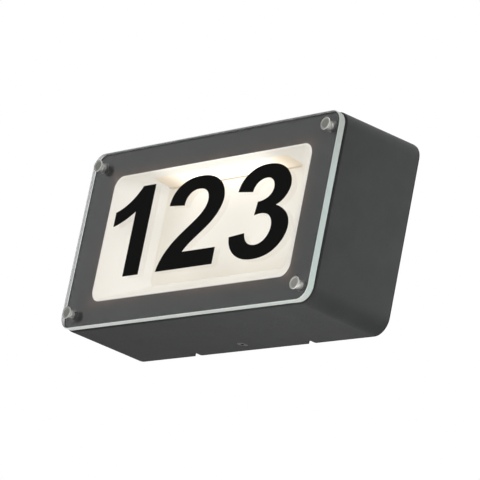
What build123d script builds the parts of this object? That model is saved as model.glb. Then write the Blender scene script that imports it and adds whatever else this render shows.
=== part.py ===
from build123d import *
import os
from math import atan2, cos, sin

# Illuminated house number sign for an outside wall.
# A deep cast housing with a window carries a clear glass pane on four thumb caps. The pane bears the
# numerals. Behind the window a flared white reflector tray is lit by an LED strip in its ceiling. The
# housing pushes over a sheet-steel wall plate and a countersunk screw from below locks it there.
# Frame: origin at the middle of the wall plate's rear face, +X to the right seen from the front,
# +Y into the wall, +Z up. Millimetres.

os.makedirs("parts", exist_ok=True)

# ---- driving dimensions ------------------------------------------------------------------------
# glass pane
glass_w = 260.0
glass_h = 130.0
glass_t = 5.0
glass_corner_r = 10.0
glass_bevel = 0.4
stand_off = 71.0  # wall to the front of the glass
spacer_t = 0.9  # washers between glass and housing

# housing: it widens from its face to its rear rim
over_front = 0.8  # beyond the glass on each side, at the face
over_rear = 2.0  # the same at the rear rim
wall_t = 2.4
face_t = 3.0
face_edge_r = 0.8
seal_t = 1.0
seal_inset = 0.2
frame_side_w = 25.6  # from the glass's ends to the window
frame_top_w = 18.6  # from the glass's upper and lower edges to the window
window_corner_r = 9.5
drain_x = 59.5
drain_w = 7.0
drain_depth = 4.0

# glass fixings
cap_inset_x = 10.0
cap_inset_z = 10.5
cap_head_d = 8.6
cap_head_t = 0.9
cap_cone_t = 1.8
cap_neck_d = 4.6
cap_proud = 4.0  # glass front to the face of the cap
cap_rim_w = 0.9
cap_dish_depth = 0.35
shank_d = 4.0
thread_pitch = 0.7
cap_turns = 6.0
glass_hole_d = 5.0
sleeve_flange_d = 6.0
sleeve_flange_t = 0.3
washer_d = 8.4
retainer_d = 6.4
retainer_t = 1.0
retainer_groove_d = 3.2
insert_d = 6.0
insert_l = 6.5
boss_wall = 1.9
boss_end = 1.4
rib_t = 2.0

# numerals
digit_h = 65.8
digit_t = 0.3
digit_sink = 14.6  # base line above the window's lower edge
digit_left_gap = 13.4  # window's left edge to the first numeral
digit_right_gap = 65.4  # window's right edge to the left end of the last
digit_mid_shift = 33.2  # middle of the sign to the left end of the second

# reflector tray, whose front end stands in the window, flush with the housing's face
tray_t = 1.2
tray_depth = 23.6  # housing face to the tray's back panel
tray_flare_side = 33.9  # run of each side from the window's edge to the back panel
tray_flare_top = 4.2
tray_flare_bottom = 16.9
tray_back_r = 5.0
tray_rim_side = 9.6  # rim beyond the window
tray_rim_top = 10.6
tray_rim_r = 9.0
tray_post_h = 4.0
tray_side_screw_out = 5.6  # side screws, beyond the window's ends
tray_screw_in = 9.4  # edge screws, inwards from the window's ends
tray_screw_out = 6.6  # edge screws, above and below the window

# light strip in the tray's ceiling
led_open_side = 0.2  # opening shorter than the back panel at each end
led_open_d = 16.0
led_open_back = 0.4  # behind the opening, before the back panel
diffuser_t = 1.5
diffuser_lip = 1.2
channel_t = 1.5
channel_h = 10.0
channel_over = 4.7  # beyond the opening at each end
ear_l = 9.0
ear_w = 12.0
led_post_h = 4.0
board_w = 11.0
board_t = 1.2
board_end = 6.0
chip_count = 12
chip_w = 3.5
chip_d = 2.8
chip_t = 0.7

# driver and terminals, on the back of the tray
driver_less_w = 63.0  # case narrower than the tray's back panel
driver_h = 36.0
driver_t = 21.0
driver_in = 6.5  # first screw, from the back panel's left end
driver_z = 6.0
driver_ear_l = 8.0
driver_ear_w = 14.0
driver_ear_t = 2.0
driver_edge_r = 1.5
mount_post_h = 4.0
terminal_in = 20.5  # middle of the block, from the back panel's right end
terminal_z = 6.0
terminal_pitch = 9.5
terminal_poles = 3
terminal_h = 20.0
terminal_t = 14.0
terminal_edge_r = 0.8
wire_hole_d = 4.4
wire_hole_y = 5.0
clamp_screw_d = 4.0
clamp_screw_l = 5.0
clamp_recess = 1.6
earth_in = 9.0  # from the glass's right end
earth_post_d = 8.0
earth_post_h = 12.0
tag_d = 8.6
tag_t = 0.8
tag_barrel_d = 4.0
tag_barrel_l = 9.0
tag_bend_gap = 1.0

# small screws
screw_d = 2.9
screw_head_d = 5.6
screw_head_h = 1.9
screw_slot_w = 0.8
screw_slot_depth = 1.0
screw_hole_d = 3.4
screw_into_post = 3.6
post_d = 6.8
post_floor = 0.4
earth_screw_d = 4.0
earth_head_d = 7.0
earth_head_h = 2.4

# wall plate
plate_w = 200.0
plate_t = 2.0
plate_bend_r = 1.0
plate_gap = 0.4
flange_depth = 14.0
tab_w = 40.0
tab_depth = 18.0
side_relief = 5.0
wall_slot_x = 60.0
wall_slot_l = 12.0
wall_slot_w = 5.2
cable_hole_d = 18.0
cable_z = 30.0
cable_d = 8.0
grommet_flange_d = 24.0
grommet_flange_t = 1.5
grommet_nose_l = 2.5
grommet_nose_d = 13.0

# locking screw and its nut
lock_y = -11.0  # from the wall
lock_screw_d = 4.0
lock_head_d = 7.6
lock_head_t = 2.0
lock_hole_d = 4.3
lock_socket_w = 2.5
lock_socket_depth = 1.3
lock_turns = 3.0
fork_w = 4.8
nut_w = 7.0
nut_t = 3.2
nut_chamfer = 0.4
lip_t = 1.0
lip_gap = 0.2

# fits
fit_gap = 0.05  # a shank that turns in its hole, per side
seat_gap = 0.02  # a flat seat between pieces that part
press_gap = 0.01  # an insert pressed in its boss
slip_gap = 0.1  # a piece that drops into its place
pocket_gap = 0.4  # round the retaining ring in its pocket
strip_gap = 2.0  # between the light strip's ears and the tray's rim
cut_past = 1.0  # how far a cut runs past the face it opens

# ---- places worked out from them ---------------------------------------------------------------
glass_front_y = -stand_off
glass_back_y = glass_front_y + glass_t
face_y = glass_back_y + spacer_t
face_back_y = face_y + face_t
rim_y = -seal_t
tray_back_y = face_y + tray_depth
tray_rear_y = tray_back_y + tray_t
tray_rim_y = face_back_y + tray_post_h
window_w = glass_w - 2 * frame_side_w
window_h = glass_h - 2 * frame_top_w
tray_front_w = window_w - 2 * slip_gap
tray_front_h = window_h - 2 * slip_gap
tray_front_r = window_corner_r - slip_gap
tray_back_w = window_w - 2 * tray_flare_side
tray_back_h = window_h - tray_flare_top - tray_flare_bottom
tray_back_z = (tray_flare_bottom - tray_flare_top) / 2
tray_rim_w = window_w + 2 * tray_rim_side
tray_rim_h = window_h + 2 * tray_rim_top
tray_side_screw_x = window_w / 2 + tray_side_screw_out
tray_edge_screw_x = window_w / 2 - tray_screw_in
tray_edge_screw_z = window_h / 2 + tray_screw_out
led_open_w = tray_back_w - 2 * led_open_side
channel_l = led_open_w + 2 * channel_over
cap_x = glass_w / 2 - cap_inset_x
cap_z = glass_h / 2 - cap_inset_z
corners = {"tl": (-cap_x, cap_z), "tr": (cap_x, cap_z), "bl": (-cap_x, -cap_z), "br": (cap_x, -cap_z)}
cap_travel = cap_turns * thread_pitch
nut_travel = lock_turns * thread_pitch
driver_w = tray_back_w - driver_less_w
driver_ear_x = driver_w / 2 + driver_ear_l / 2
driver_x = driver_in + driver_ear_x - tray_back_w / 2
terminal_w = terminal_pitch * terminal_poles
terminal_x = tray_back_w / 2 - terminal_in
earth_x = glass_w / 2 - earth_in
terminal_post_x = terminal_pitch / 2
driver_posts = [(driver_x - driver_ear_x, driver_z), (driver_x + driver_ear_x, driver_z)]
terminal_posts = [(terminal_x - terminal_post_x, terminal_z), (terminal_x + terminal_post_x, terminal_z)]
tray_screw_points = [
    (sx * tray_edge_screw_x, sz * tray_edge_screw_z) for sx in (-1, 1) for sz in (-1, 1)
] + [(-tray_side_screw_x, 0), (tray_side_screw_x, 0)]


def facing(y):
    """A plane square to Y whose own x and y run along +X and +Z; it is extruded towards the front."""
    return Plane(origin=(0, y, 0), x_dir=(1, 0, 0), z_dir=(0, -1, 0))


def along_y(x, y, z):
    """A plane through X and Y for revolved pieces: its own x is the radius, its y runs into the wall."""
    return Plane(origin=(x, y, z), x_dir=(1, 0, 0), z_dir=(0, 0, 1))


def outline(y, inset=0.0):
    """Width, height and corner radius of the housing at y, drawn in by inset."""
    share = (y - face_y) / (rim_y - face_y)
    over = over_front + (over_rear - over_front) * share - inset
    return glass_w + 2 * over, glass_h + 2 * over, glass_corner_r + over


def save(made, name):
    made.part.label = name
    export_step(made.part, f"parts/{name}.step")


def pan_screw(length, thread_d=screw_d, head_d=screw_head_d, head_h=screw_head_h):
    """A slotted pan-head screw: its head stands on Z = 0 and its shank runs down."""
    with BuildPart() as made:
        Cylinder(head_d / 2, head_h, align=(Align.CENTER, Align.CENTER, Align.MIN))
        fillet(made.faces().sort_by(Axis.Z)[-1].edges(), head_h / 3)
        Cylinder(thread_d / 2, length, align=(Align.CENTER, Align.CENTER, Align.MAX))
        chamfer(made.faces().sort_by(Axis.Z)[0].edges(), thread_d / 8)
        with BuildSketch(Plane.XY.offset(head_h)):
            Rectangle(head_d + cut_past, screw_slot_w)
        extrude(amount=-screw_slot_depth, mode=Mode.SUBTRACT)
    return made.part


# ---- wall plate, grommet and seal --------------------------------------------------------------
plate_half_h = outline(-flange_depth, wall_t)[1] / 2 - plate_gap
tab_top_z = plate_half_h * -1 + plate_t
bend_outer_r = plate_bend_r + plate_t

with BuildPart() as wall_plate:
    with BuildSketch(Plane.YZ.offset(-plate_w / 2)):
        with BuildLine():
            Polyline(
                (0, -plate_half_h),
                (0, plate_half_h),
                (-flange_depth, plate_half_h),
                (-flange_depth, plate_half_h - plate_t),
                (-plate_t, plate_half_h - plate_t),
                (-plate_t, tab_top_z),
                (-tab_depth, tab_top_z),
                (-tab_depth, -plate_half_h),
                close=True,
            )
        make_face()
        bends = vertices().group_by(Axis.X)
        fillet(bends[-1], bend_outer_r)
        fillet(vertices().filter_by(lambda v: abs(v.X + plate_t) < 0.01), plate_bend_r)
    extrude(amount=plate_w)
    # the bottom tab is narrower than the plate
    for side in (-1, 1):
        with BuildSketch(facing(cut_past)):
            with Locations((side * (plate_w + tab_w) / 4, -plate_half_h)):
                Rectangle((plate_w - tab_w) / 2, 2 * side_relief)
        extrude(amount=tab_depth + 2 * cut_past, mode=Mode.SUBTRACT)
    # slots for two wall screws, and the cable hole
    with BuildSketch(facing(cut_past)):
        with Locations((-wall_slot_x, 0), (wall_slot_x, 0)):
            SlotOverall(wall_slot_l, wall_slot_w)
        with Locations((0, cable_z)):
            Circle(cable_hole_d / 2)
    extrude(amount=plate_t + 2 * cut_past, mode=Mode.SUBTRACT)
    # two lips keep the nut from turning
    with BuildSketch(Plane.XY.offset(tab_top_z)):
        lip_front_y = -tab_depth
        lip_back_y = lock_y + nut_w / 2
        lip_x = nut_w / 2 + lip_gap + lip_t / 2
        with Locations((-lip_x, (lip_front_y + lip_back_y) / 2), (lip_x, (lip_front_y + lip_back_y) / 2)):
            Rectangle(lip_t, lip_back_y - lip_front_y)
    extrude(amount=nut_travel + nut_t / 2)
    # the fork that the locking screw stands in, open to the front
    with BuildSketch(Plane.XY.offset(-plate_half_h - cut_past)):
        with Locations((0, lock_y)):
            Circle(fork_w / 2)
            Rectangle(fork_w, tab_depth, align=(Align.CENTER, Align.MAX))
    extrude(amount=plate_t + 2 * cut_past, mode=Mode.SUBTRACT)
save(wall_plate, "wall_plate")

with BuildPart() as cable_grommet:
    with BuildSketch(along_y(0, 0, cable_z)):
        with BuildLine():
            Polyline(
                (cable_d / 2, 0),
                (cable_hole_d / 2 - press_gap, 0),
                (cable_hole_d / 2 - press_gap, -plate_t),
                (grommet_flange_d / 2, -plate_t),
                (grommet_flange_d / 2, -plate_t - grommet_flange_t),
                (grommet_nose_d / 2, -plate_t - grommet_flange_t),
                (grommet_nose_d / 2 - 1, -plate_t - grommet_flange_t - grommet_nose_l),
                (cable_d / 2, -plate_t - grommet_flange_t - grommet_nose_l),
                close=True,
            )
        make_face()
    revolve(axis=Axis((0, 0, cable_z), (0, 1, 0)))
save(cable_grommet, "cable_grommet")


def drain_cut(y, depth):
    """The two drain notches, cut from y towards the front through the bottom wall."""
    with BuildPart() as made:
        with Locations((-drain_x, y, -glass_h / 2), (drain_x, y, -glass_h / 2)):
            Box(drain_w, depth, 4 * wall_t, align=(Align.CENTER, Align.MAX, Align.CENTER))
    return made.part


seal_w, seal_h, seal_r = outline(rim_y, seal_inset)
seal_in_w, seal_in_h, seal_in_r = outline(rim_y, wall_t - seal_inset)
with BuildPart() as rim_seal:
    with BuildSketch(facing(0)):
        RectangleRounded(seal_w, seal_h, seal_r)
        RectangleRounded(seal_in_w, seal_in_h, seal_in_r, mode=Mode.SUBTRACT)
    extrude(amount=seal_t)
    add(drain_cut(cut_past, seal_t + 2 * cut_past), mode=Mode.SUBTRACT)
save(rim_seal, "rim_seal")

# ---- housing -----------------------------------------------------------------------------------
pocket_d = retainer_d + 2 * pocket_gap  # clear hole for the retaining ring
pocket_depth = cap_travel + retainer_t + 3 * slip_gap
insert_front_y = face_y + pocket_depth
boss_d = max(insert_d, pocket_d) + 2 * boss_wall
boss_end_y = insert_front_y + insert_l + boss_end
lock_wall_z = -outline(lock_y)[1] / 2

with BuildPart() as housing:
    with BuildSketch(facing(rim_y)):
        RectangleRounded(*outline(rim_y))
    with BuildSketch(facing(face_y)):
        RectangleRounded(*outline(face_y))
    loft()
    fillet(housing.faces().sort_by(Axis.Y)[0].edges(), face_edge_r)
    with BuildSketch(facing(rim_y + cut_past)):
        RectangleRounded(*outline(rim_y + cut_past, wall_t))
    with BuildSketch(facing(face_back_y)):
        RectangleRounded(*outline(face_back_y, wall_t))
    loft(mode=Mode.SUBTRACT)
    # bosses for the glass screws, each with two ribs to the walls
    inner_w, inner_h, inner_r = outline(face_back_y, wall_t / 2)
    with BuildSketch(facing(boss_end_y)):
        with Locations(*corners.values()):
            Circle(boss_d / 2)
        for bx, bz in corners.values():
            side = 1 if bx > 0 else -1
            level = 1 if bz > 0 else -1
            reach_x = inner_w / 2 - cap_x
            reach_z = inner_h / 2 - cap_z
            with Locations((bx + side * reach_x / 2, bz)):
                Rectangle(reach_x, rib_t)
            with Locations((bx, bz + level * reach_z / 2)):
                Rectangle(rib_t, reach_z)
    extrude(amount=boss_end_y - face_back_y)
    # posts for the tray, and the earth post
    with BuildSketch(facing(tray_rim_y)):
        with Locations(*tray_screw_points):
            Circle(post_d / 2)
    extrude(amount=tray_post_h)
    with BuildSketch(facing(face_back_y + earth_post_h)):
        with Locations((earth_x, 0)):
            Circle(earth_post_d / 2)
    extrude(amount=earth_post_h)
    with BuildSketch(facing(tray_rim_y)):
        with Locations(*tray_screw_points):
            Circle(screw_d / 2 + press_gap)
    extrude(amount=tray_post_h, mode=Mode.SUBTRACT)
    with BuildSketch(facing(face_back_y + earth_post_h)):
        with Locations((earth_x, 0)):
            Circle(earth_screw_d / 2 + press_gap)
    extrude(amount=earth_post_h - cut_past, mode=Mode.SUBTRACT)
    # pocket and insert hole in each boss
    with BuildSketch(facing(insert_front_y)):
        with Locations(*corners.values()):
            Circle(pocket_d / 2)
    extrude(amount=pocket_depth + cut_past, mode=Mode.SUBTRACT)
    with BuildSketch(facing(insert_front_y + insert_l)):
        with Locations(*corners.values()):
            Circle(insert_d / 2 + press_gap)
    extrude(amount=insert_l, mode=Mode.SUBTRACT)
    # window
    with BuildSketch(facing(face_back_y + cut_past)):
        RectangleRounded(window_w, window_h, window_corner_r)
    extrude(amount=face_t + 2 * cut_past, mode=Mode.SUBTRACT)
    # drains and the locking screw's countersunk hole
    add(drain_cut(rim_y + cut_past, drain_depth + cut_past), mode=Mode.SUBTRACT)
    with Locations(Plane(origin=(0, lock_y, lock_wall_z), x_dir=(1, 0, 0), z_dir=(0, 0, -1))):
        CounterSinkHole(lock_hole_d / 2, lock_head_d / 2 + 4 * fit_gap, 2 * wall_t)
save(housing, "housing")

# ---- reflector tray ----------------------------------------------------------------------------
ceiling_front = Vector(0, face_y, tray_front_h / 2)
ceiling_back = Vector(0, tray_rear_y, tray_back_z + tray_back_h / 2 + tray_t)
slope = atan2(ceiling_front.Z - ceiling_back.Z, ceiling_back.Y - ceiling_front.Y)
down_slope = Vector(0, cos(slope), -sin(slope))
off_slope = Vector(0, sin(slope), cos(slope))
led_back = tray_t / cos(slope) + led_open_back
led_origin = ceiling_back - down_slope * (led_back + led_open_d / 2)
led_plane = Plane(origin=led_origin, x_dir=(1, 0, 0), z_dir=off_slope)  # on the ceiling's outside
diffuser_w = led_open_w + 2 * diffuser_lip
diffuser_d = led_open_d + 2 * diffuser_lip
channel_inner_w = diffuser_d + 2 * slip_gap
channel_w = channel_inner_w + 2 * channel_t
ear_x = channel_l / 2 + ear_l / 2
led_posts = [(-ear_x, 0), (ear_x, 0)]

with BuildPart() as reflector_tray:
    with BuildSketch(facing(tray_rim_y + tray_t)):
        RectangleRounded(tray_rim_w, tray_rim_h, tray_rim_r)
    extrude(amount=tray_t)
    # the rim is left out where the light strip stands
    with BuildSketch(facing(tray_rim_y + tray_t)):
        with Locations((0, tray_rim_h / 2)):
            Rectangle(channel_l + 2 * ear_l + 2 * strip_gap, tray_rim_h - tray_back_h)
    extrude(amount=tray_t, mode=Mode.SUBTRACT)
    with BuildSketch(facing(tray_rear_y)):
        with Locations((0, tray_back_z)):
            RectangleRounded(tray_back_w + 2 * tray_t, tray_back_h + 2 * tray_t, tray_back_r + tray_t)
    with BuildSketch(facing(face_y)):
        RectangleRounded(tray_front_w, tray_front_h, tray_front_r)
    loft()
    # posts behind the back panel and on the ceiling
    with BuildSketch(facing(tray_rear_y + mount_post_h)):
        with Locations(*driver_posts, *terminal_posts):
            Circle(post_d / 2)
    extrude(amount=mount_post_h + tray_t / 2)
    with BuildSketch(led_plane.offset(led_post_h)):
        with Locations(*led_posts):
            Circle(post_d / 2)
    extrude(amount=-led_post_h - tray_t / 2)
    with BuildSketch(facing(tray_back_y)):
        with Locations((0, tray_back_z)):
            RectangleRounded(tray_back_w, tray_back_h, tray_back_r)
    with BuildSketch(facing(face_y)):
        RectangleRounded(tray_front_w - 2 * tray_t, tray_front_h - 2 * tray_t, tray_front_r - tray_t)
    loft(mode=Mode.SUBTRACT)
    # opening for the light, and the screw holes
    with BuildSketch(led_plane.offset(cut_past)):
        Rectangle(led_open_w, led_open_d)
    extrude(amount=-2 * cut_past - tray_t, mode=Mode.SUBTRACT)
    with BuildSketch(led_plane.offset(led_post_h)):
        with Locations(*led_posts):
            Circle(screw_d / 2 + press_gap)
    extrude(amount=-led_post_h, mode=Mode.SUBTRACT)
    with BuildSketch(facing(tray_rear_y + mount_post_h)):
        with Locations(*driver_posts, *terminal_posts):
            Circle(screw_d / 2 + press_gap)
    extrude(amount=mount_post_h, mode=Mode.SUBTRACT)
    with BuildSketch(facing(tray_rim_y + tray_t)):
        with Locations(*tray_screw_points):
            Circle(screw_hole_d / 2)
    extrude(amount=tray_t, mode=Mode.SUBTRACT)
save(reflector_tray, "reflector_tray")

with BuildPart() as tray_screws:
    tray_seat_y = tray_rim_y + tray_t
    with Locations(*[Plane(origin=(x, tray_seat_y, z), z_dir=(0, 1, 0)) for x, z in tray_screw_points]):
        add(pan_screw(tray_t + screw_into_post))
save(tray_screws, "tray_screws")

# ---- light strip -------------------------------------------------------------------------------
with BuildPart() as led_diffuser:
    with BuildSketch(led_plane):
        Rectangle(diffuser_w, diffuser_d)
    extrude(amount=diffuser_t)
    with BuildSketch(led_plane):
        Rectangle(led_open_w - 2 * slip_gap, led_open_d - 2 * slip_gap)
    extrude(amount=-(tray_t - 2 * slip_gap) * cos(slope))
save(led_diffuser, "led_diffuser")

ear_plane = led_plane.offset(led_post_h)
with BuildPart() as led_channel:
    with BuildSketch(led_plane):
        Rectangle(channel_l, channel_w)
    extrude(amount=channel_h)
    with BuildSketch(led_plane):
        Rectangle(channel_l - 2 * channel_t, channel_inner_w)
    extrude(amount=channel_h - channel_t, mode=Mode.SUBTRACT)
    with BuildSketch(ear_plane):
        with Locations(*led_posts):
            Rectangle(ear_l, ear_w)
    extrude(amount=channel_t)
    with BuildSketch(ear_plane):
        with Locations(*led_posts):
            Circle(screw_hole_d / 2)
    extrude(amount=channel_t, mode=Mode.SUBTRACT)
save(led_channel, "led_channel")

board_l = channel_l - 2 * channel_t - board_end
board_plane = led_plane.offset(channel_h - channel_t - board_t)
with BuildPart() as led_board:
    with BuildSketch(board_plane):
        RectangleRounded(board_l, board_w, board_w / 8)
    extrude(amount=board_t)
save(led_board, "led_board")

with BuildPart() as led_chips:
    with BuildSketch(board_plane):
        with GridLocations(board_l / chip_count, 0, chip_count, 1):
            Rectangle(chip_w, chip_d)
    extrude(amount=-chip_t)
save(led_chips, "led_chips")

with BuildPart() as led_screws:
    screw_seat = ear_plane.offset(channel_t)
    with Locations(*[Plane(screw_seat.from_local_coords((x, y, 0)), z_dir=off_slope) for x, y in led_posts]):
        add(pan_screw(channel_t + screw_into_post))
save(led_screws, "led_screws")

# ---- driver, terminals and earth ---------------------------------------------------------------
ear_y = tray_rear_y + mount_post_h
with BuildPart() as driver_case:
    with BuildSketch(facing(tray_rear_y + driver_t)):
        with Locations((driver_x, driver_z)):
            Rectangle(driver_w, driver_h)
    extrude(amount=driver_t)
    fillet(driver_case.edges(), driver_edge_r)
    with BuildSketch(facing(ear_y + driver_ear_t)):
        with Locations((driver_x, driver_z)):
            SlotOverall(driver_w + 2 * driver_ear_l, driver_ear_w)
    extrude(amount=driver_ear_t)
    with BuildSketch(facing(ear_y + driver_ear_t)):
        with Locations(*driver_posts):
            Circle(screw_hole_d / 2)
    extrude(amount=driver_ear_t, mode=Mode.SUBTRACT)
save(driver_case, "driver_case")

with BuildPart() as driver_screws:
    with Locations(*[Plane(origin=(x, ear_y + driver_ear_t, z), z_dir=(0, 1, 0)) for x, z in driver_posts]):
        add(pan_screw(driver_ear_t + screw_into_post))
save(driver_screws, "driver_screws")

pole_x = [terminal_x + terminal_pitch * (i - (terminal_poles - 1) / 2) for i in range(terminal_poles)]
clamp_z = (terminal_z - terminal_h / 4, terminal_z + terminal_h / 4)
clamp_points = [(x, z) for x in pole_x for z in clamp_z]
terminal_top_y = ear_y + terminal_t
mount_seat_y = terminal_top_y - screw_head_h - slip_gap
with BuildPart() as terminal_block:
    with BuildSketch(facing(terminal_top_y)):
        with Locations((terminal_x, terminal_z)):
            Rectangle(terminal_w, terminal_h)
    extrude(amount=terminal_t)
    fillet(terminal_block.edges().filter_by(Axis.Y), terminal_edge_r)
    with BuildSketch(Plane.XY.offset(terminal_z - terminal_h / 2 - cut_past)):
        with Locations(*[(x, ear_y + wire_hole_y) for x in pole_x]):
            Circle(wire_hole_d / 2)
    extrude(amount=terminal_h + 2 * cut_past, mode=Mode.SUBTRACT)
    with BuildSketch(facing(terminal_top_y)):
        with Locations(*clamp_points):
            Circle(clamp_screw_d / 2 + fit_gap)
    extrude(amount=clamp_recess + clamp_screw_l + slip_gap, mode=Mode.SUBTRACT)
    with BuildSketch(facing(terminal_top_y)):
        with Locations(*terminal_posts):
            Circle(screw_hole_d / 2)
    extrude(amount=terminal_t, mode=Mode.SUBTRACT)
    with BuildSketch(facing(terminal_top_y)):
        with Locations(*terminal_posts):
            Circle(screw_head_d / 2 + slip_gap)
    extrude(amount=terminal_top_y - mount_seat_y, mode=Mode.SUBTRACT)
save(terminal_block, "terminal_block")

with BuildPart() as terminal_mount_screws:
    with Locations(*[Plane(origin=(x, mount_seat_y, z), z_dir=(0, 1, 0)) for x, z in terminal_posts]):
        add(pan_screw(mount_seat_y - ear_y + screw_into_post))
save(terminal_mount_screws, "terminal_mount_screws")

clamp_y = terminal_top_y - clamp_recess
with BuildPart() as terminal_clamp_screws:
    with BuildSketch(facing(clamp_y)):
        with Locations(*clamp_points):
            Circle(clamp_screw_d / 2)
    extrude(amount=clamp_screw_l)
    with BuildSketch(facing(clamp_y)):
        with Locations(*clamp_points):
            Rectangle(screw_slot_w, clamp_screw_d + cut_past)
    extrude(amount=screw_slot_depth, mode=Mode.SUBTRACT)
save(terminal_clamp_screws, "terminal_clamp_screws")

earth_seat_y = face_back_y + earth_post_h
with BuildPart() as earth_tag:
    with BuildSketch(facing(earth_seat_y + tag_t)):
        with Locations((earth_x, 0)):
            Circle(tag_d / 2)
            Rectangle(tag_barrel_d, tag_d + tag_bend_gap, align=(Align.CENTER, Align.MAX))
            Circle(earth_screw_d / 2 + slip_gap, mode=Mode.SUBTRACT)
    extrude(amount=tag_t)
    with BuildSketch(Plane.XY.offset(-tag_d - tag_bend_gap + tag_t)):
        with Locations((earth_x, earth_seat_y + tag_barrel_d / 2)):
            Circle(tag_barrel_d / 2)
            Circle(tag_barrel_d / 2 - tag_t, mode=Mode.SUBTRACT)
    extrude(amount=-tag_barrel_l)
save(earth_tag, "earth_tag")

with BuildPart() as earth_screw:
    with Locations(Plane(origin=(earth_x, earth_seat_y + tag_t, 0), z_dir=(0, 1, 0))):
        add(pan_screw(earth_post_h - 2 * cut_past, earth_screw_d, earth_head_d, earth_head_h))
save(earth_screw, "earth_screw")

# ---- glass, sleeves, washers and inserts -------------------------------------------------------
with BuildPart() as front_glass:
    with BuildSketch(facing(glass_back_y)):
        RectangleRounded(glass_w, glass_h, glass_corner_r)
    extrude(amount=glass_t)
    pane_ends = front_glass.faces().sort_by(Axis.Y)
    chamfer(pane_ends[0].edges() + pane_ends[-1].edges(), glass_bevel)
    with BuildSketch(facing(glass_back_y)):
        with Locations(*corners.values()):
            Circle(glass_hole_d / 2)
    extrude(amount=glass_t, mode=Mode.SUBTRACT)
save(front_glass, "front_glass")

sleeve_bore_d = shank_d + 4 * fit_gap
with BuildPart() as glass_sleeves:
    with BuildSketch(facing(glass_back_y)):
        with Locations(*corners.values()):
            Circle(glass_hole_d / 2 - press_gap)
            Circle(sleeve_bore_d / 2, mode=Mode.SUBTRACT)
    extrude(amount=glass_t)
    with BuildSketch(facing(glass_front_y)):
        with Locations(*corners.values()):
            Circle(sleeve_flange_d / 2)
            Circle(sleeve_bore_d / 2, mode=Mode.SUBTRACT)
    extrude(amount=sleeve_flange_t)
save(glass_sleeves, "glass_sleeves")

with BuildPart() as spacer_washers:
    with BuildSketch(facing(glass_back_y + spacer_t - seat_gap)):
        with Locations(*corners.values()):
            Circle(washer_d / 2)
            Circle(sleeve_bore_d / 2, mode=Mode.SUBTRACT)
    extrude(amount=spacer_t - 2 * seat_gap)
save(spacer_washers, "spacer_washers")

insert_bore_d = shank_d + 2 * fit_gap
with BuildPart() as threaded_inserts:
    with BuildSketch(facing(insert_front_y + insert_l)):
        with Locations(*corners.values()):
            Circle(insert_d / 2)
            Circle(insert_bore_d / 2, mode=Mode.SUBTRACT)
    extrude(amount=insert_l)
save(threaded_inserts, "threaded_inserts")

# ---- numerals ----------------------------------------------------------------------------------
digit_base_z = -window_h / 2 + digit_sink
digit_left_x = (digit_left_gap - window_w / 2, -digit_mid_shift, window_w / 2 - digit_right_gap)


def digit_points(*points):
    """Points of a numeral, which are written from its lower left corner on a grid 65 high."""
    return [(x * digit_h / 65, z * digit_h / 65) for x, z in points]


def digit_plane(index):
    origin = (digit_left_x[index], glass_front_y, digit_base_z)
    return Plane(origin=origin, x_dir=(1, 0, 0), z_dir=(0, -1, 0))


with BuildPart() as digit_1:
    with BuildSketch(digit_plane(0)):
        with BuildLine():
            ThreePointArc(*digit_points((0, 38), (11.8, 41.8), (22, 47.2)))
            Polyline(*digit_points((22, 47.2), (22, 0), (38.5, 0), (38.5, 65), (25.3, 65)))
            ThreePointArc(*digit_points((25.3, 65), (14.6, 54.9), (0, 48.4)))
            Line(*digit_points((0, 48.4), (0, 38)))
        make_face()
    extrude(amount=digit_t)
save(digit_1, "digit_1")

with BuildPart() as digit_2:
    with BuildSketch(digit_plane(1)):
        with BuildLine():
            # over the top and down the outside of the diagonal
            Spline(
                *digit_points(
                    (1.7, 46.6), (7.7, 58.6), (18.2, 63.8), (31.2, 65.2), (45.2, 62.8), (55, 56), (58.6, 46.2)
                )
                + digit_points((55.7, 37.8), (47.2, 28.8), (33.2, 19.2), (24.7, 11.8))
            )
            Polyline(*digit_points((24.7, 11.8), (59.2, 11.8), (59.2, 0), (0.2, 0)))
            # up the inside and round the bowl
            Spline(
                *digit_points((0.2, 0), (3.4, 8.2), (10.4, 17.2), (23.2, 27.3), (33.2, 34.1), (39.6, 40))
                + digit_points((42.3, 46.7), (39.6, 53), (31.7, 55.8), (23.2, 54.4), (19, 50.5), (17.9, 45.3))
            )
            Line(*digit_points((17.9, 45.3), (1.7, 46.6)))
        make_face()
    extrude(amount=digit_t)
save(digit_2, "digit_2")

with BuildPart() as digit_3:
    with BuildSketch(digit_plane(2)):
        with BuildLine():
            # outside of the upper bowl, to the waist
            Spline(
                *digit_points((1.4, 48.4), (6, 57.7), (15.4, 63.5), (28.4, 65.2), (42.4, 62.4), (51.2, 55.6))
                + digit_points((54, 47.7), (50.7, 40.5), (42.2, 35.4))
            )
            # outside of the lower bowl
            Spline(
                *digit_points((42.2, 35.4), (51.2, 31.2), (56.8, 25.7), (58.7, 18.5), (55.2, 9.9), (44.4, 2))
                + digit_points((28.4, -0.7), (13.4, 1.9), (4.4, 8.4), (0.6, 17.2))
            )
            Line(*digit_points((0.6, 17.2), (15.7, 18.4)))
            # inside of the lower bowl
            Spline(
                *digit_points((15.7, 18.4), (19.9, 11.6), (28.9, 9.1), (37.9, 12.5), (41.7, 20.7))
                + digit_points((38.4, 27.8), (30.4, 30.7), (22.4, 30))
            )
            Line(*digit_points((22.4, 30), (23.6, 39.4)))
            # inside of the upper bowl
            Spline(
                *digit_points((23.6, 39.4), (31.9, 41), (36.7, 45), (37, 50.4), (32.9, 54.5))
                + digit_points((26.4, 55.4), (19.4, 52.5), (16.4, 46.8))
            )
            Line(*digit_points((16.4, 46.8), (1.4, 48.4)))
        make_face()
    extrude(amount=digit_t)
save(digit_3, "digit_3")

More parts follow.
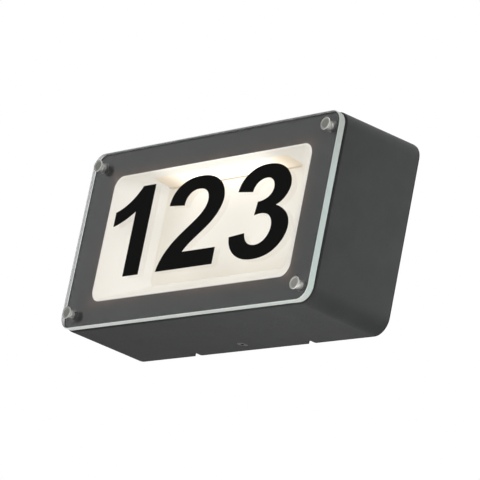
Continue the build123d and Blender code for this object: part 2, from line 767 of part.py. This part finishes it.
# ---- thumb caps and their retaining rings ------------------------------------------------------
# depths below are measured into the wall from the front of the glass
retainer_depth = glass_t + spacer_t + cap_travel + slip_gap
shank_tip = insert_front_y - glass_front_y + cap_travel - fit_gap
groove_front = retainer_depth - fit_gap
groove_back = retainer_depth + retainer_t + fit_gap
seat_depth = -sleeve_flange_t - seat_gap
head_r = cap_head_d / 2
dish_r = head_r - cap_rim_w
head_back = -cap_proud + cap_head_t
tip_chamfer = shank_d / 8

for corner, (x, z) in corners.items():
    with BuildPart() as cap_retainer:
        with BuildSketch(facing(glass_front_y + retainer_depth + retainer_t)):
            with Locations((x, z)):
                Circle(retainer_d / 2)
                Circle(retainer_groove_d / 2 + fit_gap, mode=Mode.SUBTRACT)
        extrude(amount=retainer_t)
    save(cap_retainer, f"cap_retainer_{corner}")

    with BuildPart() as glass_cap:
        with BuildSketch(along_y(x, glass_front_y, z)):
            with BuildLine():
                Line((0, cap_dish_depth - cap_proud), (dish_r - cap_dish_depth, cap_dish_depth - cap_proud))
                Line((dish_r - cap_dish_depth, cap_dish_depth - cap_proud), (dish_r, -cap_proud))
                Polyline(
                    (dish_r, -cap_proud),
                    (head_r - cap_dish_depth, -cap_proud),
                    (head_r, cap_dish_depth - cap_proud),
                    (head_r, head_back),
                    (cap_neck_d / 2, head_back + cap_cone_t),
                    (cap_neck_d / 2, seat_depth),
                    (shank_d / 2, seat_depth),
                    (shank_d / 2, groove_front),
                    (retainer_groove_d / 2, groove_front),
                    (retainer_groove_d / 2, groove_back),
                    (shank_d / 2, groove_back),
                    (shank_d / 2, shank_tip - tip_chamfer),
                    (shank_d / 2 - tip_chamfer, shank_tip),
                    (0, shank_tip),
                    (0, cap_dish_depth - cap_proud),
                )
            make_face()
        revolve(axis=Axis((x, glass_front_y, z), (0, 1, 0)))
    save(glass_cap, f"glass_cap_{corner}")

# ---- locking screw and nut ---------------------------------------------------------------------
nut_seat_z = tab_top_z + slip_gap
screw_top_z = nut_seat_z + nut_t + nut_travel + slip_gap
lock_face_z = lock_wall_z + slip_gap  # the head lies just inside the countersink's mouth
with BuildPart() as lock_screw:
    with BuildSketch(Plane(origin=(0, lock_y, 0), x_dir=(1, 0, 0), z_dir=(0, -1, 0))):
        with BuildLine():
            Polyline(
                (0, lock_face_z),
                (lock_head_d / 2, lock_face_z),
                (lock_screw_d / 2, lock_face_z + (lock_head_d - lock_screw_d) / 2),
                (lock_screw_d / 2, screw_top_z - tip_chamfer),
                (lock_screw_d / 2 - tip_chamfer, screw_top_z),
                (0, screw_top_z),
                close=True,
            )
        make_face()
    revolve(axis=Axis((0, lock_y, 0), (0, 0, 1)))
    with BuildSketch(Plane.XY.offset(lock_face_z)):
        with Locations((0, lock_y)):
            RegularPolygon(lock_socket_w / 2, 6, major_radius=False)
    extrude(amount=lock_socket_depth, mode=Mode.SUBTRACT)
save(lock_screw, "lock_screw")

with BuildPart() as clamp_nut:
    with BuildSketch(Plane.XY.offset(nut_seat_z)):
        with Locations((0, lock_y)):
            Rectangle(nut_w, nut_w)
    extrude(amount=nut_t)
    chamfer(clamp_nut.faces().sort_by(Axis.Z)[-1].edges(), nut_chamfer)
    with BuildSketch(Plane.XY.offset(nut_seat_z)):
        with Locations((0, lock_y)):
            Circle(lock_screw_d / 2 + fit_gap)
    extrude(amount=nut_t, mode=Mode.SUBTRACT)
save(clamp_nut, "clamp_nut")
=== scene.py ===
import math

import bmesh
import bpy
from mathutils import Matrix, Vector


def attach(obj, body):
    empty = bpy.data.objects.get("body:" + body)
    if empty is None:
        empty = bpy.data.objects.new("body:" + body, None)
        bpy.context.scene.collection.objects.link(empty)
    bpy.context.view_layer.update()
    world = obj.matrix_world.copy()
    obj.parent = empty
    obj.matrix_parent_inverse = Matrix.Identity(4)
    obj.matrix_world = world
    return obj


# Illuminated house number sign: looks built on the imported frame. Metres, the frame's axes.

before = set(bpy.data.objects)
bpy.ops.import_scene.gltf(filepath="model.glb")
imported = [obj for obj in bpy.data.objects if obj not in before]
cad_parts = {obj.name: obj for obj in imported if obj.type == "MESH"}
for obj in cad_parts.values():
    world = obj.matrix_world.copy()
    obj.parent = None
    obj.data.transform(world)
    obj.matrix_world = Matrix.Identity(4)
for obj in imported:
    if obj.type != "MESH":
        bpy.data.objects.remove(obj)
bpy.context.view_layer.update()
scene = bpy.context.scene
scene.view_settings.view_transform = "Standard"

# ---- camera: the photograph's viewing angle ------------------------------------------------------
CAM_AZ = math.radians(52.158)
CAM_EL = math.radians(-16.322)
CAM_ROLL = math.radians(11.338)
CAM_TARGET = Vector((0.024808, -0.050, -0.007504))
CAM_DIST = 2.12380
CAM_FOCAL_PX = 3178.7
IMAGE_PX = 480

back = Vector((math.sin(CAM_AZ) * math.cos(CAM_EL), -math.cos(CAM_AZ) * math.cos(CAM_EL), math.sin(CAM_EL)))
right = Vector((0, 0, 1)).cross(back).normalized()
up = back.cross(right)
cam_x = right * math.cos(CAM_ROLL) + up * math.sin(CAM_ROLL)
cam_y = up * math.cos(CAM_ROLL) - right * math.sin(CAM_ROLL)
cam_data = bpy.data.cameras.new("camera")
cam_data.sensor_fit = "HORIZONTAL"
cam_data.sensor_width = 36.0
cam_data.lens = CAM_FOCAL_PX / IMAGE_PX * cam_data.sensor_width
cam_data.clip_start = 0.05
cam_data.clip_end = 100
camera = bpy.data.objects.new("camera", cam_data)
scene.collection.objects.link(camera)
camera.matrix_world = Matrix.Translation(CAM_TARGET + back * CAM_DIST) @ Matrix(
    (
        (cam_x.x, cam_y.x, back.x, 0),
        (cam_x.y, cam_y.y, back.y, 0),
        (cam_x.z, cam_y.z, back.z, 0),
        (0, 0, 0, 1),
    )
)
scene.camera = camera


# ---- material helpers ----------------------------------------------------------------------------
def srgb(r, g, b):
    """A display colour, 0 to 255, as the linear colour that a shader takes."""
    linear = [(c / 255 / 12.92) if c <= 10 else ((c / 255 + 0.055) / 1.055) ** 2.4 for c in (r, g, b)]
    return (*linear, 1.0)


class Shade:
    """A node material: a Principled shader and short calls that feed it."""

    def __init__(self, name):
        self.mat = bpy.data.materials.new(name)
        self.mat.use_nodes = True
        self.nodes = self.mat.node_tree.nodes
        self.links = self.mat.node_tree.links
        self.bsdf = self.nodes["Principled BSDF"]
        self.out = self.nodes["Material Output"]
        self.coords = self.nodes.new("ShaderNodeTexCoord").outputs["Object"]

    def set(self, **values):
        """Fixed values of the shader's sockets, with underscores for the blanks in their names."""
        for key, value in values.items():
            self.bsdf.inputs[key.replace("_", " ")].default_value = value
        return self

    def link(self, a, b):
        self.links.new(a, b)

    def stretch(self, scale):
        """The object's coordinates, in metres, scaled along each axis."""
        node = self.nodes.new("ShaderNodeMapping")
        node.inputs["Scale"].default_value = scale
        self.link(self.coords, node.inputs["Vector"])
        return node.outputs["Vector"]

    def noise(self, scale, detail=3.0, rough=0.5, vector=None):
        node = self.nodes.new("ShaderNodeTexNoise")
        node.inputs["Scale"].default_value = scale
        node.inputs["Detail"].default_value = detail
        node.inputs["Roughness"].default_value = rough
        self.link(vector or self.coords, node.inputs["Vector"])
        return node.outputs["Fac"]

    def cells(self, scale):
        node = self.nodes.new("ShaderNodeTexVoronoi")
        node.inputs["Scale"].default_value = scale
        self.link(self.coords, node.inputs["Vector"])
        return node

    def math(self, kind, a, b=0.0, clamp=False):
        node = self.nodes.new("ShaderNodeMath")
        node.operation = kind
        node.use_clamp = clamp
        for socket, value in zip(node.inputs, (a, b)):
            if isinstance(value, (int, float)):
                socket.default_value = value
            else:
                self.link(value, socket)
        return node.outputs[0]

    def span(self, value, lo, hi, to_lo=0.0, to_hi=1.0, smooth=False):
        """The value's way from lo to hi, laid onto to_lo to to_hi and clamped there."""
        node = self.nodes.new("ShaderNodeMapRange")
        node.interpolation_type = "SMOOTHSTEP" if smooth else "LINEAR"
        for key, number in (("From Min", lo), ("From Max", hi), ("To Min", to_lo), ("To Max", to_hi)):
            node.inputs[key].default_value = number
        self.link(value, node.inputs["Value"])
        return node.outputs["Result"]

    def blend(self, fac, a, b):
        node = self.nodes.new("ShaderNodeMix")
        node.data_type = "RGBA"
        self.link(fac, node.inputs[0])
        for socket, value in ((node.inputs[6], a), (node.inputs[7], b)):
            if isinstance(value, tuple):
                socket.default_value = value
            else:
                self.link(value, socket)
        return node.outputs[2]

    def axes(self):
        """The object's x, y and z, in metres."""
        return self.split(self.coords)

    def split(self, vector):
        node = self.nodes.new("ShaderNodeSeparateXYZ")
        self.link(vector, node.inputs["Vector"])
        return node.outputs

    def geometry(self):
        return self.nodes.new("ShaderNodeNewGeometry").outputs

    def bump(self, height, strength, depth):
        """Adds one more height on top of the bumps already there."""
        node = self.nodes.new("ShaderNodeBump")
        node.inputs["Strength"].default_value = strength
        node.inputs["Distance"].default_value = depth
        self.link(height, node.inputs["Height"])
        if self.bsdf.inputs["Normal"].is_linked:
            self.link(self.bsdf.inputs["Normal"].links[0].from_socket, node.inputs["Normal"])
        self.link(node.outputs["Normal"], self.bsdf.inputs["Normal"])
        return self

    def colour(self, socket):
        self.link(socket, self.bsdf.inputs["Base Color"])
        return self

    def rough(self, socket):
        self.link(socket, self.bsdf.inputs["Roughness"])
        return self

    def emit(self, strength):
        self.link(strength, self.bsdf.inputs["Emission Strength"])
        return self

    def to(self, *names):
        for name in names:
            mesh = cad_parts[name].data
            mesh.materials.clear()
            mesh.materials.append(self.mat)
        return self


# ---- housing: fine-textured dark grey powder coat ------------------------------------------------
# half the window's width and height, and the y span in which paint counts as the housing's front face
WINDOW_X = 0.1044
WINDOW_Z = 0.0464
FACE_Y = (-0.0648, -0.0644)
HALO_REACH = 0.009
HALO_STRENGTH = 0.055
paint = Shade("powder_coat").set(Metallic=0.0, Specular_IOR_Level=0.22)
mottle = paint.noise(38, 4.0, 0.6)
grain = paint.noise(1500, 2.0, 0.5)
paint.colour(paint.blend(paint.span(mottle, 0.3, 0.7), srgb(51, 52, 52), srgb(57, 58, 58)))
# painted light: the lit window's faint warm halo, painted as a glow of the paint on the face round it
px, py, pz = paint.axes()
outward = paint.math(
    "MAXIMUM",
    paint.math("SUBTRACT", paint.math("ABSOLUTE", px), WINDOW_X),
    paint.math("SUBTRACT", paint.math("ABSOLUTE", pz), WINDOW_Z),
)
halo = paint.math("POWER", paint.span(outward, 0.0, HALO_REACH, 1.0, 0.0), 2.0)
halo = paint.math("MULTIPLY", halo, paint.span(paint.noise(30, 1.0), 0.35, 0.6, 0.2, 1.0))
paint.emit(paint.math("MULTIPLY", halo, paint.span(py, *FACE_Y, HALO_STRENGTH, 0.0)))
paint.set(Emission_Color=(1.0, 0.50, 0.28, 1.0))
paint.rough(paint.span(grain, 0.3, 0.7, 0.52, 0.68))
paint.bump(grain, 0.35, 0.00006)
paint.bump(paint.noise(260, 2.0, 0.5), 0.12, 0.0002)
paint.to("housing")

# ---- reflector tray and strip cover --------------------------------------------------------------
# the tray's parts by place: where its back panel begins, how far back its flares turn bright (painted
# light), the panel's painted shade at its left and lower borders, its crease with the ceiling (painted
# shade) and the painted glow along the strip
PANEL_Y = (-0.0424, -0.0418)
DEEP_Y = (-0.0640, -0.0480)
LEFT_BORDER_X = (-0.070, -0.040)
LOWER_BORDER_Z = (-0.030, -0.014)
CREASE_Z = (0.0412, 0.0420)
CEILING_GLOW_X = (0.040, 0.071)
STRIP_END_X = (0.020, 0.071)
tray = Shade("tray_satin_white").set(Specular_IOR_Level=0.35)
tx, ty, tz = tray.axes()
panel = tray.span(ty, *PANEL_Y)
painted_depth_light = tray.span(ty, *DEEP_Y)
cloud = tray.span(tray.noise(60, 3.0, 0.6), 0.3, 0.7)
# painted light and shade: the flares darker towards the front of the chamber and lighter towards its back
sides = tray.blend(painted_depth_light, srgb(235, 233, 229), tray.blend(cloud, srgb(248, 247, 244), srgb(252, 251, 249)))
# painted shade: the back panel darker along its left and lower borders, where it meets the flares
inner = tray.math("MULTIPLY", tray.span(tx, *LEFT_BORDER_X), tray.span(tz, *LOWER_BORDER_Z))
panel_painted_shade = tray.blend(inner, srgb(241, 238, 229), srgb(251, 249, 244))
crease = tray.span(tz, *CREASE_Z)
# painted shade: a warm tan where the back panel meets the ceiling
tray.colour(tray.blend(panel, sides, tray.blend(crease, panel_painted_shade, srgb(226, 211, 188))))
# painted light: the ceiling round the strip glows with it
glow = tray.span(tray.math("ABSOLUTE", tx), *CEILING_GLOW_X, 1.0, 0.0, smooth=True)
glow = tray.math("MULTIPLY", glow, crease)
glow = tray.math("MULTIPLY", glow, tray.math("SUBTRACT", 1.0, panel))
tray.emit(tray.math("MULTIPLY", glow, 0.3))
tray.set(Emission_Color=(1.0, 0.97, 0.90, 1.0))
tray.rough(tray.span(tray.noise(900, 2.0), 0.3, 0.7, 0.34, 0.46))
tray.bump(tray.noise(1100, 2.0), 0.10, 0.00003)
tray.to("reflector_tray")

opal = Shade("opal_strip_cover").set(Specular_IOR_Level=0.4)
along = opal.math("ABSOLUTE", opal.axes()[0])
opal.rough(opal.span(opal.noise(1400), 0.3, 0.7, 0.38, 0.5))
# the cover glows with the strip's own light, fading towards its ends, where its colour is painted darker and
# warmer as shade
toward_end = opal.span(along, *STRIP_END_X, smooth=True)
opal.colour(
    opal.blend(
        toward_end,
        opal.blend(opal.noise(700, 2.0), srgb(246, 242, 232), srgb(250, 248, 241)),
        opal.blend(opal.noise(700, 2.0), srgb(238, 224, 204), srgb(243, 230, 211)),
    )
)
warmth = opal.blend(toward_end, (1.0, 0.97, 0.90, 1.0), (1.0, 0.90, 0.76, 1.0))
opal.link(warmth, opal.bsdf.inputs["Emission Color"])
opal.emit(opal.span(toward_end, 0.0, 1.0, 1.3, 0.02))
opal.to("led_diffuser")

board = Shade("white_board").set(Roughness=0.4, Specular_IOR_Level=0.4)
board.colour(board.blend(board.span(board.noise(200), 0.4, 0.6), srgb(226, 226, 220), srgb(236, 236, 231)))
board.rough(board.span(board.noise(1500), 0.3, 0.7, 0.35, 0.5))
board.to("led_board")

chip = Shade("chip_phosphor").set(Coat_Weight=0.6, Coat_Roughness=0.08)
chip.colour(chip.blend(chip.span(chip.noise(2600), 0.4, 0.6), srgb(226, 190, 60), srgb(240, 210, 92)))
chip.rough(chip.span(chip.noise(3000), 0.3, 0.7, 0.3, 0.45))
chip.to("led_chips")


# ---- metals and mouldings inside -----------------------------------------------------------------
def metal(name, light, dark, low, high, scale=(40, 2500, 2500)):
    """A metal with a fine grain drawn out along the axis whose scale is smallest."""
    made = Shade(name).set(Metallic=1.0)
    drawn = made.noise(1.0, 3.0, 0.6, made.stretch(scale))
    made.colour(made.blend(made.span(drawn, 0.3, 0.7), dark, light))
    made.rough(made.span(drawn, 0.3, 0.7, low, high))
    made.bump(drawn, 0.12, 0.00002)
    return made


metal("drawn_aluminium", srgb(214, 215, 217), srgb(190, 191, 193), 0.28, 0.42).to("led_channel")
metal("zinc_screw", srgb(205, 207, 210), srgb(172, 174, 178), 0.22, 0.4, (900, 900, 900)).to(
    "tray_screws", "led_screws", "driver_screws", "terminal_mount_screws", "clamp_nut"
)
metal("turned_brass", srgb(214, 178, 104), srgb(186, 146, 76), 0.2, 0.34, (1500, 200, 1500)).to(
    "threaded_inserts", "earth_screw", "terminal_clamp_screws"
)
metal("tinned_tag", srgb(206, 206, 204), srgb(176, 176, 174), 0.2, 0.36, (600, 600, 600)).to("earth_tag")

# zinc-plated sheet: faint spangle over fine rolling lines
plate = Shade("zinc_sheet").set(Metallic=1.0)
spangle = plate.span(plate.cells(160).outputs["Color"], 0.0, 1.0)
plate.colour(plate.blend(spangle, srgb(176, 180, 184), srgb(204, 207, 210)))
rolled = plate.noise(1.0, 3.0, 0.6, plate.stretch((30, 1800, 1800)))
plate.rough(plate.span(rolled, 0.3, 0.7, 0.28, 0.46))
plate.bump(rolled, 0.1, 0.00002)
plate.to("wall_plate")


def moulded(name, a, b, low, high, grain_scale=900, strength=0.2):
    """A moulding between two near colours, with a fine grain."""
    made = Shade(name)
    made.colour(made.blend(made.span(made.noise(45, 3.0, 0.6), 0.3, 0.7), a, b))
    grain = made.noise(grain_scale, 2.0, 0.5)
    made.rough(made.span(grain, 0.3, 0.7, low, high))
    made.bump(grain, strength, 0.00005)
    return made


moulded("driver_moulding", srgb(214, 214, 210), srgb(224, 224, 220), 0.45, 0.6).to("driver_case")
moulded("natural_nylon", srgb(222, 219, 205), srgb(232, 229, 217), 0.3, 0.42, 1200, 0.1).to("terminal_block")
moulded("ring_nylon", srgb(214, 211, 200), srgb(224, 221, 210), 0.35, 0.5, 1500, 0.1).to(
    *[f"cap_retainer_{c}" for c in ("tl", "tr", "bl", "br")]
)
moulded("black_rubber", srgb(22, 22, 22), srgb(31, 31, 31), 0.62, 0.8, 1100, 0.3).to("cable_grommet")
moulded("grey_silicone", srgb(70, 71, 71), srgb(78, 79, 79), 0.5, 0.66, 1100, 0.2).to("spacer_washers")
foam = moulded("closed_cell_foam", srgb(34, 34, 35), srgb(46, 46, 47), 0.8, 0.95, 900, 0.2)
foam.bump(foam.cells(1700).outputs["Distance"], 0.6, 0.00025)
foam.to("rim_seal")

# ---- numerals: satin black sheet -----------------------------------------------------------------
vinyl = Shade("numeral_sheet").set(Specular_IOR_Level=0.25)
tone = vinyl.span(vinyl.noise(120, 3.0, 0.6), 0.3, 0.7)
vinyl.colour(vinyl.blend(tone, srgb(9, 9, 8), srgb(13, 13, 11)))
vinyl.rough(vinyl.span(vinyl.noise(800, 2.0), 0.3, 0.7, 0.36, 0.46))
vinyl.bump(vinyl.noise(1600, 2.0), 0.08, 0.00002)
vinyl.to("digit_1", "digit_2", "digit_3")

# ---- pane: clear polished faces, ground edges and bevels -----------------------------------------
# the caps' axes, half their spacing; the radius that takes in a hole's wall; and how metallic the
# satin round sides of turned steel are
CAP_X = 0.1200
CAP_Z = 0.0545
HOLE_WALL_R = 0.004
ROUND_METALLIC = 0.25
# the heights between which the lower edge ends and the side edges turn grey towards the top with painted
# shade, and the way along the lower edge on which its painted light fades
LOWER_EDGE_Z = (-0.064, -0.058)
UPPER_SIDE_Z = (0.020, 0.058)
LOWER_EDGE_LIGHT_X = (-0.100, 0.090)


def cap_distance(shade):
    """Distance from the axis of the nearest thumb cap."""
    x, _, z = shade.axes()
    dx = shade.math("SUBTRACT", shade.math("ABSOLUTE", x), CAP_X)
    dz = shade.math("SUBTRACT", shade.math("ABSOLUTE", z), CAP_Z)
    squares = [shade.math("MULTIPLY", dx, dx), shade.math("MULTIPLY", dz, dz)]
    return shade.math("SQRT", shade.math("ADD", *squares))


pane = Shade("pane_glass").set(Transmission_Weight=1.0, IOR=1.5)
surface = pane.geometry()
facing = pane.split(surface["True Normal"])
lateral = pane.math("ABSOLUTE", facing[0])
frontal = pane.math("ABSOLUTE", facing[1])
ground = pane.span(frontal, 0.98, 0.90)
painted_bevel_highlight = pane.span(frontal, 0.3, 0.6)
outside = pane.math("MULTIPLY", ground, pane.math("SUBTRACT", 1.0, surface["Backfacing"]))
hole = pane.math("MULTIPLY", ground, pane.math("LESS_THAN", cap_distance(pane), HOLE_WALL_R))
grit = pane.span(pane.noise(2200, 2.0), 0.35, 0.65, 0.80, 0.94)
grit = pane.math("SUBTRACT", grit, pane.math("MULTIPLY", hole, 0.6))
pane.rough(pane.math("MULTIPLY", ground, grit))
gx, _, gz = pane.axes()
below = pane.span(gz, *LOWER_EDGE_Z, 1.0, 0.0)
painted_top_shade = pane.span(gz, *UPPER_SIDE_Z)
speckle = pane.span(pane.noise(1300, 2.0), 0.35, 0.65)
# the edges as seen from outside: mint along the sides, painted shade greying the top corners, painted light
# below
side_tint = pane.blend(speckle, srgb(196, 212, 206), srgb(206, 220, 214))
lower_tint_painted_light = pane.blend(speckle, srgb(204, 210, 204), srgb(216, 221, 215))
run_tint = pane.blend(below, pane.blend(painted_top_shade, side_tint, srgb(186, 190, 185)), lower_tint_painted_light)
# painted highlight: the bevels paler than the ground edges
outer_tint = pane.blend(painted_bevel_highlight, run_tint, srgb(226, 235, 231))
# and as seen through the glass, whose polished faces stay clear
# painted light: seen from inside, the side edges paler than the top and lower ones
inner_tint_painted_light = pane.blend(lateral, srgb(206, 208, 207), srgb(234, 236, 235))
edge_tint = pane.blend(outside, pane.blend(ground, (1.0, 1.0, 1.0, 1.0), inner_tint_painted_light), outer_tint)
# the holes' walls look like the bushings in them, which clear walls would hide behind reflections
pane.colour(pane.blend(hole, edge_tint, srgb(240, 240, 237)))
pane.link(pane.math("MULTIPLY", hole, ROUND_METALLIC), pane.bsdf.inputs["Metallic"])
clear = pane.math("SUBTRACT", pane.span(outside, 0.0, 1.0, 1.0, 0.2), hole, clamp=True)
pane.link(clear, pane.bsdf.inputs["Transmission Weight"])
# painted light: a glow on the lower edge, brightest at its left end, for the light that the pane carries
# down to it
painted_edge_glow = pane.math("MULTIPLY", outside, below)
pane.emit(pane.math("MULTIPLY", painted_edge_glow, pane.span(gx, *LOWER_EDGE_LIGHT_X, 0.26, 0.0)))
absorb = pane.nodes.new("ShaderNodeVolumeAbsorption")
absorb.inputs["Color"].default_value = (0.50, 0.86, 0.72, 1.0)
absorb.inputs["Density"].default_value = 2.2
pane.link(absorb.outputs["Volume"], pane.out.inputs["Volume"])
pane.to("front_glass")

# ---- thumb caps: turned stainless steel ----------------------------------------------------------
DISH_R = 0.0033
cap = Shade("turned_steel")
radius = cap_distance(cap)
rings = cap.nodes.new("ShaderNodeTexNoise")
rings.noise_dimensions = "1D"
rings.inputs["Scale"].default_value = 9000
rings.inputs["Detail"].default_value = 2.0
cap.link(radius, rings.inputs["W"])
turned = cap.nodes.new("ShaderNodeTexNoise")
turned.noise_dimensions = "1D"
turned.inputs["Scale"].default_value = 7000
cap.link(cap.axes()[1], turned.inputs["W"])
marks = cap.math("MULTIPLY", cap.math("ADD", rings.outputs["Fac"], turned.outputs["Fac"]), 0.5)
steel = cap.blend(cap.span(marks, 0.35, 0.65), srgb(206, 205, 200), srgb(232, 231, 226))
polished = cap.blend(cap.span(marks, 0.35, 0.65), srgb(240, 239, 235), srgb(252, 251, 248))
flat = cap.span(cap.math("ABSOLUTE", cap.split(cap.geometry()["Normal"])[1]), 0.55, 0.85)
dish = cap.math("MULTIPLY", flat, cap.math("LESS_THAN", radius, DISH_R))
cap.colour(cap.blend(flat, polished, cap.blend(dish, steel, srgb(194, 194, 186))))
metallic = cap.span(flat, 0.0, 1.0, ROUND_METALLIC, 0.85)
metallic = cap.math("SUBTRACT", metallic, cap.math("MULTIPLY", dish, 0.35))
cap.link(metallic, cap.bsdf.inputs["Metallic"])
cap.rough(cap.span(marks, 0.35, 0.65, 0.24, 0.38))
cap.bump(marks, 0.25, 0.00002)
cap.to("glass_sleeves", *[f"glass_cap_{c}" for c in ("tl", "tr", "bl", "br")])

metal("blackened_steel", srgb(74, 74, 74), srgb(50, 50, 50), 0.26, 0.42, (900, 900, 900)).to("lock_screw")

# ---- stage: pale floor, white surround, soft lamps -----------------------------------------------
FLOOR_Z = -2.6
FLOOR_HALF = 60.0
# how far out the floor fades to white, and how much of its own light that takes
FADE_R = (1.0, 14.0)
FADE_LIGHT = (0.20, 0.40)
floor_mesh = bpy.data.meshes.new("floor")
grid = bmesh.new()
bmesh.ops.create_grid(grid, x_segments=8, y_segments=8, size=FLOOR_HALF)
grid.to_mesh(floor_mesh)
grid.free()
floor = bpy.data.objects.new("floor", floor_mesh)
scene.collection.objects.link(floor)
floor.location = (0, 0, FLOOR_Z)
ground_paint = Shade("pale_floor").set(Specular_IOR_Level=0.1)
rays = ground_paint.nodes.new("ShaderNodeLightPath").outputs
pale = ground_paint.blend(ground_paint.noise(3), srgb(240, 240, 239), srgb(244, 244, 243))
ground_paint.colour(ground_paint.blend(rays["Is Camera Ray"], srgb(172, 172, 171), pale))
seen = ground_paint.math("MAXIMUM", rays["Is Camera Ray"], rays["Is Transmission Ray"])
seen = ground_paint.math("MAXIMUM", seen, rays["Is Glossy Ray"])
reach = ground_paint.nodes.new("ShaderNodeVectorMath")
reach.operation = "LENGTH"
ground_paint.link(ground_paint.coords, reach.inputs[0])
lift = ground_paint.span(reach.outputs["Value"], *FADE_R, *FADE_LIGHT, smooth=True)
ground_paint.emit(ground_paint.math("MULTIPLY", seen, lift))
ground_paint.rough(ground_paint.span(ground_paint.noise(40), 0.3, 0.7, 0.8, 0.95))
floor_mesh.materials.append(ground_paint.mat)

world = bpy.data.worlds.new("surround")
scene.world = world
world.use_nodes = True
wn, wl = world.node_tree.nodes, world.node_tree.links
wn.clear()


def world_math(kind, a, b):
    node = wn.new("ShaderNodeMath")
    node.operation = kind
    for socket, value in zip(node.inputs, (a, b)):
        if isinstance(value, (int, float)):
            socket.default_value = value
        else:
            wl.new(value, socket)
    return node.outputs[0]


def world_span(value, lo, hi, to_lo, to_hi):
    node = wn.new("ShaderNodeMapRange")
    node.interpolation_type = "SMOOTHSTEP"
    for key, number in (("From Min", lo), ("From Max", hi), ("To Min", to_lo), ("To Max", to_hi)):
        node.inputs[key].default_value = number
    wl.new(value, node.inputs["Value"])
    return node.outputs["Result"]


# the room: a white backdrop behind the sign, a dim room in front of it, a bright ceiling
direction = wn.new("ShaderNodeSeparateXYZ")
wl.new(wn.new("ShaderNodeTexCoord").outputs["Generated"], direction.inputs["Vector"])
behind = world_span(direction.outputs[1], -0.15, 0.35, 0.10, 0.95)
ceiling = world_span(direction.outputs[2], 0.45, 0.95, 0.0, 0.55)
room = world_math("ADD", behind, ceiling)
paths = wn.new("ShaderNodeLightPath")
white = world_math("MAXIMUM", paths.outputs["Is Camera Ray"], paths.outputs["Is Transmission Ray"])
glossy = paths.outputs["Is Glossy Ray"]
plain = world_math(
    "MULTIPLY",
    world_span(direction.outputs[1], -0.9, 0.3, 0.70, 0.80),
    world_span(direction.outputs[0], 0.0, 0.8, 1.0, 0.76),
)
level = world_math(
    "ADD",
    world_math("MULTIPLY", glossy, room),
    world_math("MULTIPLY", world_math("SUBTRACT", 1.0, glossy), plain),
)
level = world_math("MAXIMUM", level, white)
surround = wn.new("ShaderNodeBackground")
surround.inputs["Color"].default_value = (1, 1, 1, 1)
wl.new(level, surround.inputs["Strength"])
wl.new(surround.outputs[0], wn.new("ShaderNodeOutputWorld").inputs["Surface"])


def lamp(name, place, aim, size, power, colour=(1, 1, 1), seen=True):
    data = bpy.data.lights.new(name, "AREA")
    data.shape = "RECTANGLE"
    data.size, data.size_y = size
    data.energy = power
    data.color = colour
    made = bpy.data.objects.new(name, data)
    scene.collection.objects.link(made)
    made.location = place
    made.rotation_euler = (Vector(aim) - Vector(place)).to_track_quat("-Z", "Y").to_euler()
    made.visible_camera = made.visible_glossy = made.visible_transmission = seen
    return made


lamp("key", (1.6, 0.2, 1.4), (0, -0.04, 0), (1.0, 1.0), 8.0)
lamp("side_wash", (0.26, 0.14, 0.03), (0.13, 0.0, 0.0), (0.15, 0.15), 0.40, seen=False)
lamp("under_wash", (0.15, -0.14, -0.24), (0.08, -0.05, -0.065), (0.2, 0.2), 0.42, seen=False)
# what the strip throws into the chamber, as one soft source across the window, just before its face
throw = lamp(
    "strip_throw", (0, -0.0652, 0), (0, 0, 0), (0.2080, 0.0920), 0.0405, (1.0, 0.945, 0.865), seen=False
)
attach(throw, "lamp")
